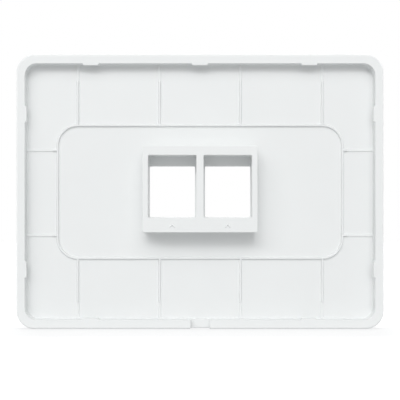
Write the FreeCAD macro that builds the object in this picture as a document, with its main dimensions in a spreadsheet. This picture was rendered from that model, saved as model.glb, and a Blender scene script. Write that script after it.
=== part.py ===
import FreeCAD, Part
import math
import os
import re
import Sketcher

# A two-port keystone faceplate, injection moulded in one piece of white ABS.
#
# The plate stands as it is fitted: X runs across it, Z up, its plain face looks along -Y and
# the wall side along +Y. The origin is the centre of the plane on which its rim meets the wall.
# A shallow box-shaped moulding is open towards the wall. Thin ribs stiffen its floor, snap lugs
# along the rim hold the mounting frame, and a block in the middle carries two keystone ports.

NODE = "faceplate"

# Driving dimensions in millimetres: cell alias, size, what it measures.
DIMENSIONS = (
    ("plate_width", 119.0, "across the outside of the rim"),
    ("plate_height", 89.0, "outside height of the rim"),
    ("plate_corner", 5.9, "outer corner radius"),
    ("rim_depth", 5.5, "front face to wall"),
    ("rim_side", 2.75, "rim wall left and right"),
    ("rim_top", 2.95, "rim wall above and below"),
    ("face_wall", 2.0, "thickness of the face"),
    ("recess_corner", 3.9, "corner radius inside the rim"),
    ("recess_root", 0.2, "fillet between rim and floor"),
    ("front_round", 1.5, "soft edge round the front face"),
    ("back_round", 0.6, "edge round the outside of the rim"),
    ("rib_root_width", 0.95, "rib thickness at the floor"),
    ("rib_tip_width", 0.4, "rib thickness at its crest"),
    ("rib_rise", 0.7, "height of the ribs over the floor"),
    ("rib_low_rise", 0.3, "height of the ribs under the mounting frame"),
    ("loop_side_gap", 10.1, "rim wall to loop rib, at the sides"),
    ("loop_top_gap", 19.8, "rim wall to loop rib, above and below"),
    ("loop_corner", 6.6, "corner radius of the loop rib"),
    ("frame_land_side", 8.35, "rim land kept low for the mounting frame, at the sides"),
    ("frame_land_top", 5.2, "the same land above and below"),
    ("inner_rib_spacing", 26.5, "between the two inner upright ribs"),
    ("side_rib_above", 13.6, "upper side ribs above the middle"),
    ("side_rib_below", 14.3, "lower side ribs below the middle"),
    ("lug_length", 5.2, "snap lug along the rim"),
    ("lug_end_slope", 0.2, "slope at each end of a lug"),
    ("lug_proud", 0.55, "how far a lug stands in from the rim"),
    ("lug_depth", 1.3, "thickness of a lug, wall side to front"),
    ("lug_inset_side", 21.35, "side wall to the middle of a top or bottom lug"),
    ("lug_inset_top", 16.35, "top or bottom wall to the middle of a side lug"),
    ("notch_width", 6.2, "pry notch in the bottom rim"),
    ("notch_depth", 2.3, "depth of the pry notch"),
    ("notch_round", 0.5, "outer edge of the pry notch"),
    ("port_depth", 10.0, "front face to the back of the port block"),
    ("port_pitch", 18.2, "between the middles of the two ports"),
    ("port_width", 14.9, "keystone opening, across"),
    ("port_height", 16.7, "keystone opening, up"),
    ("port_corner", 0.4, "corner radius of openings, cavities and block"),
    ("port_bar", 2.3, "bar left between the two cavities"),
    ("latch_step", 3.25, "room above an opening for the jack's latch"),
    ("block_side_wall", 1.7, "port block wall left and right"),
    ("block_top_wall", 2.95, "port block wall above the cavities"),
    ("block_bottom_wall", 4.65, "port block wall below the cavities"),
    ("block_root", 0.3, "fillet between port block and floor"),
    ("port_edge", 0.12, "edge round the openings and the block"),
)
ALIASES = tuple(alias for alias, size, note in DIMENSIONS)

doc = FreeCAD.newDocument("keystone_faceplate")
sheet = doc.addObject("Spreadsheet::Sheet", "Dimensions")
for row, (alias, size, note) in enumerate(DIMENSIONS, start=1):
    sheet.set(f"A{row}", note)
    sheet.set(f"B{row}", str(size))
    sheet.setAlias(f"B{row}", alias)
doc.recompute()


def bound(formula):
    """A formula in the names of the driving dimensions, as an expression on the sheet."""
    return re.sub(r"[a-z_]+", lambda word: "Dimensions." + word[0] if word[0] in ALIASES else word[0], formula)


def value(formula):
    """What such a formula comes to, in millimetres."""
    return float(sheet.evalExpression(bound(formula)))


body = doc.addObject("PartDesign::Body", NODE)
body.Label = NODE


def origin_plane(role):
    return next(feature for feature in body.Origin.OriginFeatures if feature.Role == role)


def new_sketch(name, role="XZ_Plane", depth=None):
    """An empty sketch on an origin plane. On XZ, depth counts from the wall towards the front."""
    sketch = body.newObject("Sketcher::SketchObject", name)
    sketch.AttachmentSupport = [(origin_plane(role), "")]
    sketch.MapMode = "FlatFace"
    if depth:
        sketch.setExpression("AttachmentOffset.Base.z", bound(depth))
    return sketch


def hold(sketch, line, end, across, up):
    """Ties one end of a line to its place, measured from the sketch's origin."""
    for kind, formula, axis in (("DistanceX", across, -2), ("DistanceY", up, -1)):
        place = value(formula)
        if abs(place) < 1e-9:
            sketch.addConstraint(Sketcher.Constraint("PointOnObject", line, end, axis))
            continue
        forward = place > 0
        points = (-1, 1, line, end) if forward else (line, end, -1, 1)
        index = sketch.addConstraint(Sketcher.Constraint(kind, *points, abs(place)))
        sketch.setExpression(f"Constraints[{index}]", bound(formula if forward else f"-({formula})"))


def polygon(sketch, corners):
    """A closed outline of straight lines through corners given as pairs of formulas."""
    spots = [FreeCAD.Vector(value(across), value(up), 0) for across, up in corners]
    count = len(spots)
    lines = [Part.LineSegment(spots[n], spots[(n + 1) % count]) for n in range(count)]
    first = sketch.addGeometry(lines, False)[0]
    for n in range(count):
        sketch.addConstraint(Sketcher.Constraint("Coincident", first + n, 2, first + (n + 1) % count, 1))
    for n, (across, up) in enumerate(corners):
        hold(sketch, first + n, 1, across, up)


def rounded_rectangle(sketch, left, right, bottom, top, radius):
    """A rectangle with round corners. Sides and radius are formulas; it starts mid-way along
    its top side, so that a section can be swept round it from there."""
    west, east, south, north, r = (value(side) for side in (left, right, bottom, top, radius))
    middle = (west + east) / 2
    spots = ((middle, north), (west + r, north), (west, north - r), (west, south + r), (west + r, south),
             (east - r, south), (east, south + r), (east, north - r), (east - r, north), (middle, north))
    centres = {1: (west + r, north - r), 3: (west + r, south + r), 5: (east - r, south + r),
               7: (east - r, north - r)}
    edges = []
    for n in range(9):
        start, end = (FreeCAD.Vector(*spot, 0) for spot in spots[n:n + 2])
        if n in centres:
            circle = Part.Circle(FreeCAD.Vector(*centres[n], 0), FreeCAD.Vector(0, 0, 1), r)
            quarter = math.pi / 4 * (n + 1)
            edges.append(Part.ArcOfCircle(circle, quarter, quarter + math.pi / 2))
        else:
            edges.append(Part.LineSegment(start, end))
    first = sketch.addGeometry(edges, False)[0]
    for n in range(8):
        sketch.addConstraint(Sketcher.Constraint("Tangent", first + n, 2, first + n + 1, 1))
    sketch.addConstraint(Sketcher.Constraint("Coincident", first + 8, 2, first, 1))
    for n, kind in ((0, "Horizontal"), (2, "Vertical"), (4, "Horizontal"), (6, "Vertical"), (8, "Horizontal")):
        sketch.addConstraint(Sketcher.Constraint(kind, first + n))
    for n in (3, 5, 7):
        sketch.addConstraint(Sketcher.Constraint("Equal", first + 1, first + n))
    index = sketch.addConstraint(Sketcher.Constraint("Radius", first + 1, r))
    sketch.setExpression(f"Constraints[{index}]", bound(radius))
    hold(sketch, first, 1, f"(({left}) + ({right})) / 2", top)
    for line, kind, formula in ((2, "DistanceX", left), (6, "DistanceX", right), (4, "DistanceY", bottom)):
        place = value(formula)
        forward = place > 0
        points = (-1, 1, first + line, 1) if forward else (first + line, 1, -1, 1)
        index = sketch.addConstraint(Sketcher.Constraint(kind, *points, abs(place)))
        sketch.setExpression(f"Constraints[{index}]", bound(formula if forward else f"-({formula})"))


def finished(feature):
    """Recomputes a feature and stops with its name if it failed."""
    feature.Refine = True
    body.Tip = feature
    doc.recompute()
    if "Invalid" in feature.State or "Error" in feature.State or feature.Shape.isNull():
        raise RuntimeError(f"{feature.Name} failed: {feature.State}")
    return feature


def pad(sketch, length, towards_wall, taper=None):
    """Adds material from a sketch on XZ: towards the wall, or towards the front."""
    feature = body.newObject("PartDesign::Pad", sketch.Name.replace("_sketch", ""))
    feature.Profile = sketch
    feature.Reversed = towards_wall
    feature.setExpression("Length", bound(length))
    if taper:
        feature.setExpression("TaperAngle", bound(taper))
    return finished(feature)


def pocket(sketch, length, towards_wall):
    """Cuts from a sketch on XZ, and stops if nothing was cut. No length cuts right through."""
    before = body.Tip.Shape.Volume
    feature = body.newObject("PartDesign::Pocket", sketch.Name.replace("_sketch", ""))
    feature.Profile = sketch
    feature.Reversed = not towards_wall
    if length:
        feature.setExpression("Length", bound(length))
    else:
        feature.Type = "ThroughAll"
    finished(feature)
    if feature.Shape.Volume > before - 1:
        raise RuntimeError(f"{feature.Name} cut nothing")
    return feature


def mirrored(features, name):
    """Repeats features on the other side of the plate's middle."""
    feature = body.newObject("PartDesign::Mirrored", name)
    feature.Originals = features
    feature.MirrorPlane = (origin_plane("YZ_Plane"), [""])
    return finished(feature)


def rounded(name, radius, low, high):
    """Fillets each edge that lies wholly in the box between two corners, given as formulas."""
    slack = 0.01
    box = FreeCAD.BoundBox(*(value(side) - slack for side in low), *(value(side) + slack for side in high))
    names = [f"Edge{n}" for n, edge in enumerate(body.Tip.Shape.Edges, start=1) if box.isInside(edge.BoundBox)]
    feature = body.newObject("PartDesign::Fillet", name)
    feature.Base = (feature.BaseFeature, names)
    feature.setExpression("Radius", bound(radius))
    return finished(feature)


# The tray: a rounded block as deep as the rim, hollowed from the wall side down to the face.
half_width = "(plate_width / 2)"
half_height = "(plate_height / 2)"
recess_x = "(plate_width / 2 - rim_side)"
recess_z = "(plate_height / 2 - rim_top)"
floor_depth = "(rim_depth - face_wall)"

tray = new_sketch("tray_sketch")
rounded_rectangle(tray, f"-{half_width}", half_width, f"-{half_height}", half_height, "plate_corner")
pad(tray, "rim_depth", towards_wall=False)

rounded("front_edge", "front_round", (f"-{half_width}", "-rim_depth", f"-{half_height}"),
        (half_width, "-rim_depth", half_height))
rounded("back_edge", "back_round", (f"-{half_width}", "0", f"-{half_height}"), (half_width, "0", half_height))

recess = new_sketch("recess_sketch")
rounded_rectangle(recess, f"-{recess_x}", recess_x, f"-{recess_z}", recess_z, "recess_corner")
pocket(recess, floor_depth, towards_wall=False)

rounded("recess_fillet", "recess_root", (f"-{recess_x}", f"-{floor_depth}", f"-{recess_z}"),
        (recess_x, f"-{floor_depth}", recess_z))

# The port block: stands on the floor and reaches back past the rim into the wall box.
port_inner = "(port_pitch / 2 - port_width / 2)"
port_outer = "(port_pitch / 2 + port_width / 2)"
port_low = "(-port_height / 2)"
port_high = "(port_height / 2)"
cavity_high = "(port_height / 2 + latch_step)"
block_x = f"({port_outer} + block_side_wall)"
block_low = f"({port_low} - block_bottom_wall)"
block_high = f"({cavity_high} + block_top_wall)"
block_back = "(port_depth - rim_depth)"

block = new_sketch("block_sketch", depth=floor_depth)
rounded_rectangle(block, f"-{block_x}", block_x, block_low, block_high, "port_corner")
pad(block, "port_depth - face_wall", towards_wall=True)

rounded("block_fillet", "block_root", (f"-{block_x}", f"-{floor_depth}", block_low),
        (block_x, f"-{floor_depth}", block_high))
rounded("block_edge", "port_edge", (f"-{block_x}", block_back, block_low), (block_x, block_back, block_high))

# The ports: an opening through the face for each jack, and a wider cavity behind it. The jack's
# hook holds below the opening and its latch snaps up behind the step above.
opening = new_sketch("opening_sketch", depth=f"-{block_back}")
rounded_rectangle(opening, port_inner, port_outer, port_low, port_high, "port_corner")
opening_cut = pocket(opening, None, towards_wall=False)

cavity = new_sketch("cavity_sketch", depth=f"-{block_back}")
rounded_rectangle(cavity, "port_bar / 2", port_outer, port_low, cavity_high, "port_corner")
cavity_cut = pocket(cavity, "port_depth - face_wall", towards_wall=False)
mirrored([opening_cut, cavity_cut], "ports_mirrored")

rounded("cavity_edge", "port_edge", (f"-{port_outer}", block_back, port_low), (port_outer, block_back, cavity_high))

# The pry notch: a slot across the bottom rim that takes a screwdriver's blade.
notch = new_sketch("notch_sketch")
polygon(notch, (("-notch_width / 2", f"-{half_height} - rim_top"), ("notch_width / 2", f"-{half_height} - rim_top"),
                ("notch_width / 2", f"-{recess_z} + rim_top / 2"), ("-notch_width / 2", f"-{recess_z} + rim_top / 2")))
pocket(notch, "notch_depth", towards_wall=False)

rounded("notch_edge", "notch_round", ("-notch_width / 2", "-notch_depth", f"-{half_height}"),
        ("notch_width / 2", "-notch_depth", f"-{half_height}"))

# The loop rib: one low rib of tapering section, swept round the middle of the floor.
loop_x = f"({recess_x} - loop_side_gap)"
loop_z = f"({recess_z} - loop_top_gap)"

loop_path = new_sketch("loop_path", depth=floor_depth)
rounded_rectangle(loop_path, f"-{loop_x}", loop_x, f"-{loop_z}", loop_z, "loop_corner")

loop_section = new_sketch("loop_section", role="YZ_Plane")
polygon(loop_section, ((f"-{floor_depth}", f"{loop_z} - rib_root_width / 2"),
                       (f"-{floor_depth}", f"{loop_z} + rib_root_width / 2"),
                       (f"rib_rise - {floor_depth}", f"{loop_z} + rib_tip_width / 2"),
                       (f"rib_rise - {floor_depth}", f"{loop_z} - rib_tip_width / 2")))

loop_rib = body.newObject("PartDesign::AdditivePipe", "loop_rib")
loop_rib.Profile = loop_section
loop_rib.Spine = loop_path
finished(loop_rib)

# The straight ribs run from the loop to the rim. They stand low where the mounting frame lies
# against them next to the rim. One half is drawn and mirrored.
rib_draft = "atan((rib_root_width - rib_tip_width) / 2 / rib_rise)"
loop_overlap = "(rib_root_width - rib_tip_width) / 2"


def rib_outlines(sketch, end_x, end_z):
    """Strips from the loop outwards: upright ones above and below, level ones at the side."""
    for across in ("inner_rib_spacing / 2", f"{loop_x} - loop_corner"):
        sides = (f"{across} - rib_root_width / 2", f"{across} + rib_root_width / 2")
        for sign in ("1", "-1"):
            start, end = f"{sign} * ({loop_z} - {loop_overlap})", f"{sign} * {end_z}"
            polygon(sketch, ((sides[0], start), (sides[1], start), (sides[1], end), (sides[0], end)))
    for up in ("side_rib_above", "-side_rib_below"):
        sides = (f"{up} - rib_root_width / 2", f"{up} + rib_root_width / 2")
        start, end = f"{loop_x} - {loop_overlap}", end_x
        polygon(sketch, ((start, sides[0]), (end, sides[0]), (end, sides[1]), (start, sides[1])))


low_ribs = new_sketch("low_ribs_sketch", depth=floor_depth)
rib_outlines(low_ribs, f"({recess_x} + rim_side / 2)", f"({recess_z} + rim_top / 2)")
low_pad = pad(low_ribs, "rib_low_rise", towards_wall=True, taper=f"-{rib_draft}")

tall_ribs = new_sketch("tall_ribs_sketch", depth=floor_depth)
rib_outlines(tall_ribs, f"({recess_x} - frame_land_side)", f"({recess_z} - frame_land_top)")
tall_pad = pad(tall_ribs, "rib_rise", towards_wall=True, taper=f"-{rib_draft}")
mirrored([low_pad, tall_pad], "ribs_mirrored")

# The snap lugs: flat teeth inside the rim, level with its back, that catch on the frame.
# There are three along the top, two along the bottom and two on each side.


def lug(sketch, along, inner, outer, upright):
    """One tooth: from `outer`, inside the rim, to stand proud of the rim's inner wall."""
    sign = "-1" if inner.startswith("-") else "1"
    tip = f"{inner} - {sign} * lug_proud"
    outline = ((f"{along} - lug_length / 2", outer), (f"{along} - lug_length / 2", inner),
               (f"{along} - lug_length / 2 + lug_end_slope", tip), (f"{along} + lug_length / 2 - lug_end_slope", tip),
               (f"{along} + lug_length / 2", inner), (f"{along} + lug_length / 2", outer))
    polygon(sketch, tuple((b, a) for a, b in outline) if upright else outline)


lugs = new_sketch("lugs_sketch")
corner_lug_x = f"({recess_x} - lug_inset_side)"
side_lug_z = f"({recess_z} - lug_inset_top)"
lug(lugs, "0", recess_z, f"{recess_z} + rim_top / 2", upright=False)
for right in ("", "-"):
    for upper in ("", "-"):
        lug(lugs, f"{right}{corner_lug_x}", f"{upper}{recess_z}", f"{upper}({recess_z} + rim_top / 2)", upright=False)
        lug(lugs, f"{upper}{side_lug_z}", f"{right}{recess_x}", f"{right}({recess_x} + rim_side / 2)", upright=True)
pad(lugs, "lug_depth", towards_wall=False)

for feature in doc.Objects:
    if "Invalid" in feature.State or "Error" in feature.State:
        raise RuntimeError(f"{feature.Name}: {feature.State}")
if body.Shape.isNull() or not body.Shape.isValid() or len(body.Shape.Solids) != 1:
    raise RuntimeError("the faceplate is not one sound solid")

os.makedirs("parts", exist_ok=True)
body.Shape.exportStep(f"parts/{NODE}.step")
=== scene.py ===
import math

import bmesh
import bpy
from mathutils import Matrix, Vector


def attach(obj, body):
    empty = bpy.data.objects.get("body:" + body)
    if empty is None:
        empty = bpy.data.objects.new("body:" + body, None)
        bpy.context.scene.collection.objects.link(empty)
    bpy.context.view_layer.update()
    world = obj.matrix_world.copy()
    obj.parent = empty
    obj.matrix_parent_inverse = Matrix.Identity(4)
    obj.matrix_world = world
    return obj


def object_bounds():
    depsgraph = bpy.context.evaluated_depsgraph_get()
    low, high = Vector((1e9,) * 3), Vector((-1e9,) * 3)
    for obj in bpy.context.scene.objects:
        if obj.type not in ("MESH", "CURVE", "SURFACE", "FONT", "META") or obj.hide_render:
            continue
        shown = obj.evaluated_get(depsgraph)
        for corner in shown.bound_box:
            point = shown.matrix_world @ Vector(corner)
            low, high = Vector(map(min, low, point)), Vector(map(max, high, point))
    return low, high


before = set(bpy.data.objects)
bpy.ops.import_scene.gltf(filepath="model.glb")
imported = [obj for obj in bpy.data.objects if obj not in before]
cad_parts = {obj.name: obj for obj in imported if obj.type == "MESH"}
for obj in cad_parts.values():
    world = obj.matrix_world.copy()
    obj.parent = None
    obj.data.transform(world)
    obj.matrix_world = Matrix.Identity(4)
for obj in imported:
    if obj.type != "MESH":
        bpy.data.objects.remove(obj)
cad_box = [list(corner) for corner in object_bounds()]

# --- The faceplate -------------------------------------------------------------------------
# One injection moulding in white ABS: the tray with its rim, ribs and snap lugs, and the
# block with the keystone ports. It clips over a mounting frame on the wall box. The solid
# keeps its shape here and gets its finish.


def linear(hex_colour):
    """An sRGB hex colour as linear RGBA."""
    channels = [int(hex_colour[i:i + 2], 16) / 255 for i in (1, 3, 5)]
    return [c / 12.92 if c <= 0.04045 else ((c + 0.055) / 1.055) ** 2.4 for c in channels] + [1.0]


def node(tree, kind, settings=None, **links):
    """Adds a node. Settings name its properties, or its sockets when written in Title Case;
    links name its input sockets, with _ for a space, and give (node, output) to feed them."""
    made = tree.nodes.new(kind)
    for name, setting in (settings or {}).items():
        if name in made.inputs:
            made.inputs[name].default_value = setting
        else:
            setattr(made, name, setting)
    for name, (source, output) in links.items():
        tree.links.new(source.outputs[output], made.inputs[name.replace("_", " ")])
    return made


# Moulded ABS with a satin, spark-eroded mould finish. It gives the eye a soft, slightly cool
# white with a broad sheen, faint flow clouds from the mould, and a grain just felt in the light.
ABS_WHITE = "#e3e5e5"
ABS_CLOUD = "#e0e2e2"
ABS_IOR = 1.53
ABS_ROUGHNESS = (0.50, 0.58)
FLOW_CLOUD = 0.018          # breadth of a flow cloud, metres
MOULD_GRAIN = 0.00045       # the real grain is 0.1 mm; drawn coarser so that it shows
GRAIN_RELIEF = 0.00002      # height of the grain, metres


def moulded_abs(name):
    """White moulded ABS as a material."""
    material = bpy.data.materials.new(name)
    material.use_nodes = True
    tree = material.node_tree
    tree.nodes.clear()
    place = node(tree, "ShaderNodeTexCoord")
    cloud = node(tree, "ShaderNodeTexNoise",
                 {"Scale": 1 / FLOW_CLOUD, "Detail": 3.0, "Roughness": 0.45, "Distortion": 0.6},
                 Vector=(place, "Object"))
    grain = node(tree, "ShaderNodeTexNoise",
                 {"Scale": 1 / MOULD_GRAIN, "Detail": 2.0, "Roughness": 0.6},
                 Vector=(place, "Object"))
    tint = node(tree, "ShaderNodeMix", {"data_type": "RGBA"}, Factor=(cloud, "Fac"))
    colour_a, colour_b = [socket for socket in tint.inputs if socket.type == "RGBA"]
    colour_a.default_value = linear(ABS_WHITE)
    colour_b.default_value = linear(ABS_CLOUD)
    sheen = node(tree, "ShaderNodeMapRange",
                 {"From Min": 0.3, "From Max": 0.7,
                  "To Min": ABS_ROUGHNESS[0], "To Max": ABS_ROUGHNESS[1]},
                 Value=(grain, "Fac"))
    relief = node(tree, "ShaderNodeBump", {"Strength": 0.06, "Distance": GRAIN_RELIEF},
                  Height=(grain, "Fac"))
    surface = node(tree, "ShaderNodeBsdfPrincipled", {"IOR": ABS_IOR},
                   Roughness=(sheen, "Result"), Normal=(relief, "Normal"))
    tree.links.new([o for o in tint.outputs if o.type == "RGBA"][0], surface.inputs["Base Color"])
    node(tree, "ShaderNodeOutputMaterial", Surface=(surface, "BSDF"))
    return material


white_abs = moulded_abs("moulded_white_ABS")
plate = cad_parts["faceplate"]
for slot in plate.material_slots:
    slot.material = white_abs

# --- The port marks ------------------------------------------------------------------------
# A small arrow head under each port shows which way up a jack goes in. Both are raised lines
# of the same moulding, cut into the mould as sloping grooves, so they have the plate's own ABS.

MARK_PITCH = 0.0177         # from one mark's middle to the other's
MARK_APEX = -0.01042        # where the line's centre turns, metres up from the plate's middle
MARK_WIDTH = 0.00145
MARK_HEIGHT = 0.00098
MARK_FOOT = 0.00052         # the line's width at the face
MARK_CREST = 0.00010        # the line's width at its top
MARK_PULL = MARK_FOOT / 3   # how far the crest stops short of the ends
MARK_PROUD = 0.00029        # how far the mark stands up from the block
MARK_SUNK = 0.0001          # how far the mark reaches into the block, so that no gap shows
BLOCK_FACE = round(cad_box[1][1], 6)    # the block stands out furthest on the wall side


def arrow_head(line, pull, depth):
    """The six corners of an arrow head of this line width at this depth, its ends pulled in."""
    slope = math.atan2(MARK_HEIGHT, MARK_WIDTH / 2)
    reach, half = math.hypot(MARK_HEIGHT, MARK_WIDTH / 2) - pull, line / 2
    corners = [(0, half / math.cos(slope)), (0, -half / math.cos(slope))]
    for side in (1, -1):
        end = (side * reach * math.cos(slope), -reach * math.sin(slope))
        out = (side * half * math.sin(slope), half * math.cos(slope))
        corners += [(end[0] + out[0], end[1] + out[1]), (end[0] - out[0], end[1] - out[1])]
    return [(corners[i][0], depth, corners[i][1]) for i in (0, 2, 3, 1, 5, 4)]


for side, name in ((1, "port_mark_left"), (-1, "port_mark_right")):
    shape = bmesh.new()
    sunk = [shape.verts.new(c) for c in arrow_head(MARK_FOOT, 0.0, BLOCK_FACE - MARK_SUNK)]
    foot = [shape.verts.new(c) for c in arrow_head(MARK_FOOT, 0.0, BLOCK_FACE)]
    crest = [shape.verts.new(c) for c in arrow_head(MARK_CREST, MARK_PULL, BLOCK_FACE + MARK_PROUD)]
    for lower, upper in ((sunk, foot), (foot, crest)):
        for i in range(6):
            shape.faces.new([lower[i - 1], lower[i], upper[i], upper[i - 1]])
    shape.faces.new(crest)
    shape.faces.new(sunk)
    bmesh.ops.recalc_face_normals(shape, faces=shape.faces[:])
    mark_mesh = bpy.data.meshes.new(name)
    shape.to_mesh(mark_mesh)
    shape.free()
    mark = bpy.data.objects.new(name, mark_mesh)
    mark.location = (side * MARK_PITCH / 2, 0, MARK_APEX)
    bpy.context.scene.collection.objects.link(mark)
    mark.data.materials.append(white_abs)
    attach(mark, "root")

# --- The light table -----------------------------------------------------------------------
# A sheet of opal acrylic, cast, matt on top and lit from below. The plate stands loose on it,
# on its lower edge, with its wall side to the camera.

TABLE_HALF = 0.5            # half the side of the sheet, metres
table_mesh = bpy.data.meshes.new("table")
shape = bmesh.new()
bmesh.ops.create_grid(shape, x_segments=2, y_segments=2, size=TABLE_HALF)
shape.to_mesh(table_mesh)
shape.free()
table = bpy.data.objects.new("table", table_mesh)
table.location.z = cad_box[0][2]
bpy.context.scene.collection.objects.link(table)


def seen_as(tree, lighting, shown):
    """A shader that lights the scene as one shader and is seen and mirrored as the other."""
    ray = node(tree, "ShaderNodeLightPath")
    mirrored = node(tree, "ShaderNodeMath", {"operation": "MAXIMUM"})
    tree.links.new(ray.outputs["Is Glossy Ray"], mirrored.inputs[0])
    tree.links.new(ray.outputs["Is Transmission Ray"], mirrored.inputs[1])
    looked_at = node(tree, "ShaderNodeMath", {"operation": "MAXIMUM"})
    tree.links.new(ray.outputs["Is Camera Ray"], looked_at.inputs[0])
    tree.links.new(mirrored.outputs[0], looked_at.inputs[1])
    choice = node(tree, "ShaderNodeMixShader", Fac=(looked_at, "Value"))
    tree.links.new(lighting.outputs[0], choice.inputs[1])
    tree.links.new(shown.outputs[0], choice.inputs[2])
    return choice


# Opal acrylic, cast. To the eye it is plain white with a faint painted shadow where the plate
# stands on it, painted darker where the sheet is closed in, and with light painted over the plate's
# cast shadow on the face's side. What it throws back at the plate is a little brighter at the
# plate's foot.
OPAL_WHITE = "#7c7d7e"
OPAL_SPECK = 0.0025         # breadth of a speck on the sheet, metres
SPECK_RELIEF = 0.00001      # height of a speck, metres
FOOT_LIGHT = 0.52           # light from below at the plate's foot
TABLE_LIGHT = 0.40          # light from below further out
FOOT_REACH = (0.005, 0.012)     # where one turns into the other, metres out on the wall side
CONTACT_REACH = 0.022       # how far the painted contact shadow spreads, metres
# painted contact shadow: how open the sheet is above, from 0 to 1, and how light it is painted
# there
CONTACT_SHADE = [(0.50, 0.680), (0.72, 0.757), (0.93, 0.776), (0.975, 0.785), (0.992, 0.880)]
WASHED_SHADE = 0.84         # the darkest the painted shadow gets on the face's side, where light is painted over the cast shadow
RIM_SHADE = 0.6             # the darkest it gets at the rim's wall edge
WASHED_REACH = (-0.004, 0.0)    # where one turns into the other, metres from the wall edge
opal = bpy.data.materials.new("opal_acrylic")
opal.use_nodes = True
tree = opal.node_tree
tree.nodes.clear()
place = node(tree, "ShaderNodeTexCoord")
apart = node(tree, "ShaderNodeSeparateXYZ", Vector=(place, "Object"))
speck = node(tree, "ShaderNodeTexNoise", {"Scale": 1 / OPAL_SPECK, "Detail": 2.0},
             Vector=(place, "Object"))
relief = node(tree, "ShaderNodeBump", {"Strength": 0.02, "Distance": SPECK_RELIEF},
              Height=(speck, "Fac"))
matt = node(tree, "ShaderNodeBsdfDiffuse", {"Color": linear(OPAL_WHITE)},
            Normal=(relief, "Normal"))

lit_up = node(tree, "ShaderNodeMapRange",
              {"From Min": FOOT_REACH[0], "From Max": FOOT_REACH[1],
               "To Min": FOOT_LIGHT, "To Max": TABLE_LIGHT},
              Value=(apart, "Y"))
lit_through = node(tree, "ShaderNodeEmission", Strength=(lit_up, "Result"))
backlit = node(tree, "ShaderNodeAddShader")
tree.links.new(matt.outputs[0], backlit.inputs[0])
tree.links.new(lit_through.outputs[0], backlit.inputs[1])

# painted contact shadow: the white the eye sees is painted darker where the plate closes in the
# sheet
open_sky = node(tree, "ShaderNodeAmbientOcclusion", {"samples": 16, "Distance": CONTACT_REACH})
painted_contact_shadow = node(tree, "ShaderNodeValToRGB", Fac=(open_sky, "AO"))
for free, strength in CONTACT_SHADE[2:]:
    painted_contact_shadow.color_ramp.elements.new(free)
for element, (free, strength) in zip(painted_contact_shadow.color_ramp.elements, CONTACT_SHADE):
    element.position = free
    element.color = (strength, strength, strength, 1.0)
# light painted over the plate's cast shadow on the face's side of the sheet, so the floor stays
# light there
behind = node(tree, "ShaderNodeMapRange",
              {"From Min": WASHED_REACH[0], "From Max": WASHED_REACH[1],
               "To Min": WASHED_SHADE, "To Max": RIM_SHADE},
              Value=(apart, "Y"))
painted_shade_level = node(tree, "ShaderNodeMath", {"operation": "MAXIMUM"})
tree.links.new(painted_contact_shadow.outputs["Color"], painted_shade_level.inputs[0])
tree.links.new(behind.outputs["Result"], painted_shade_level.inputs[1])
# the sheet's white as the eye sees it, carrying the painted shadow and the painted light
shown_white_and_painted_shadow = node(tree, "ShaderNodeEmission", Strength=(painted_shade_level, "Value"))
white = node(tree, "ShaderNodeAddShader")
tree.links.new(matt.outputs[0], white.inputs[0])
tree.links.new(shown_white_and_painted_shadow.outputs[0], white.inputs[1])
node(tree, "ShaderNodeOutputMaterial", Surface=(seen_as(tree, backlit, white), "Shader"))
table.data.materials.append(opal)

# --- The room ------------------------------------------------------------------------------
# A room with plain walls in matt white paint. They light the plate evenly from all round, with
# a shade more from the wall that its face looks at, and are plain white to the eye.

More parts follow.
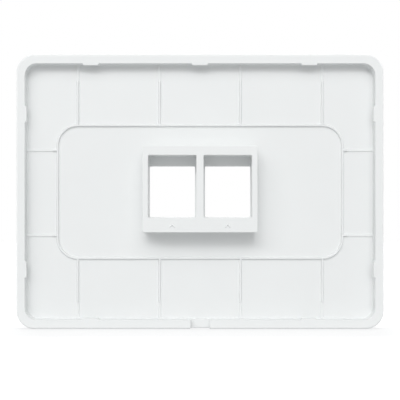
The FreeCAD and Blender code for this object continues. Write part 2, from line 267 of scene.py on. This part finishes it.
ROOM_LIGHT = 0.42
WALL_LIGHT = 0.45
WALL_REACH = (-0.3, 0.0)    # where one turns into the other, as the Y of a direction
world = bpy.data.worlds.new("room")
bpy.context.scene.world = world
world.use_nodes = True
tree = world.node_tree
tree.nodes.clear()
place = node(tree, "ShaderNodeTexCoord")
towards = node(tree, "ShaderNodeSeparateXYZ", Vector=(place, "Generated"))
level = node(tree, "ShaderNodeMapRange",
             {"From Min": WALL_REACH[0], "From Max": WALL_REACH[1],
              "To Min": WALL_LIGHT, "To Max": ROOM_LIGHT},
             Value=(towards, "Y"))
lit = node(tree, "ShaderNodeBackground", {"Color": linear("#ffffff")}, Strength=(level, "Result"))
white = node(tree, "ShaderNodeBackground", {"Color": linear("#ffffff"), "Strength": 1.0})
node(tree, "ShaderNodeOutputWorld", Surface=(seen_as(tree, lit, white), "Shader"))

# --- The lamps and the camera --------------------------------------------------------------
# A wide soft lamp hangs above the camera with a long strip beside it, a lit card stands at
# each side, and a high lamp on the room side lights the plate's face.

LAMP_DISTANCE = 4.0         # from the plate, metres


def softbox(name, tilt, turn, width, height, power):
    """A rectangular soft lamp facing the plate. Tilt lifts it above the plate's normal, and
    turn moves it towards +X, both in degrees."""
    lamp = bpy.data.lights.new(name, "AREA")
    lamp.shape = "RECTANGLE"
    lamp.size = width
    lamp.size_y = height
    lamp.energy = power
    stand = bpy.data.objects.new(name, lamp)
    up, side = math.radians(tilt), math.radians(turn)
    towards = Vector((math.sin(side) * math.cos(up), math.cos(side) * math.cos(up), math.sin(up)))
    stand.location = towards * LAMP_DISTANCE
    stand.rotation_mode = "QUATERNION"
    stand.rotation_quaternion = towards.to_track_quat("Z", "Y")
    bpy.context.scene.collection.objects.link(stand)


softbox("overhead_panel", tilt=37, turn=-2.5, width=3.31, height=3.4, power=72.0)
softbox("strip_softbox", tilt=32, turn=21.5, width=4.34, height=0.84, power=58.0)
softbox("left_card", tilt=2, turn=92, width=1.2, height=3.0, power=50.0)
softbox("right_card", tilt=2, turn=-92, width=1.2, height=3.0, power=60.0)
softbox("front_panel", tilt=58, turn=170, width=3.0, height=1.5, power=60.0)

# The camera looks straight at the plate's wall side.
CAMERA_LENS = 68.16         # mm, on a sensor 36 mm wide
CAMERA_DISTANCE = 0.245     # from the plane of the wall, metres
CAMERA_DROP = 0.0027        # below the plate's middle, metres
camera_data = bpy.data.cameras.new("camera")
camera_data.sensor_width = 36.0
camera_data.lens = CAMERA_LENS
camera = bpy.data.objects.new("camera", camera_data)
camera.location = (0.0, CAMERA_DISTANCE, -CAMERA_DROP)
camera.rotation_mode = "QUATERNION"
camera.rotation_quaternion = Vector((0, -1, 0)).to_track_quat("-Z", "Y")
bpy.context.scene.collection.objects.link(camera)
bpy.context.scene.camera = camera
bpy.context.scene.view_settings.view_transform = "Standard"
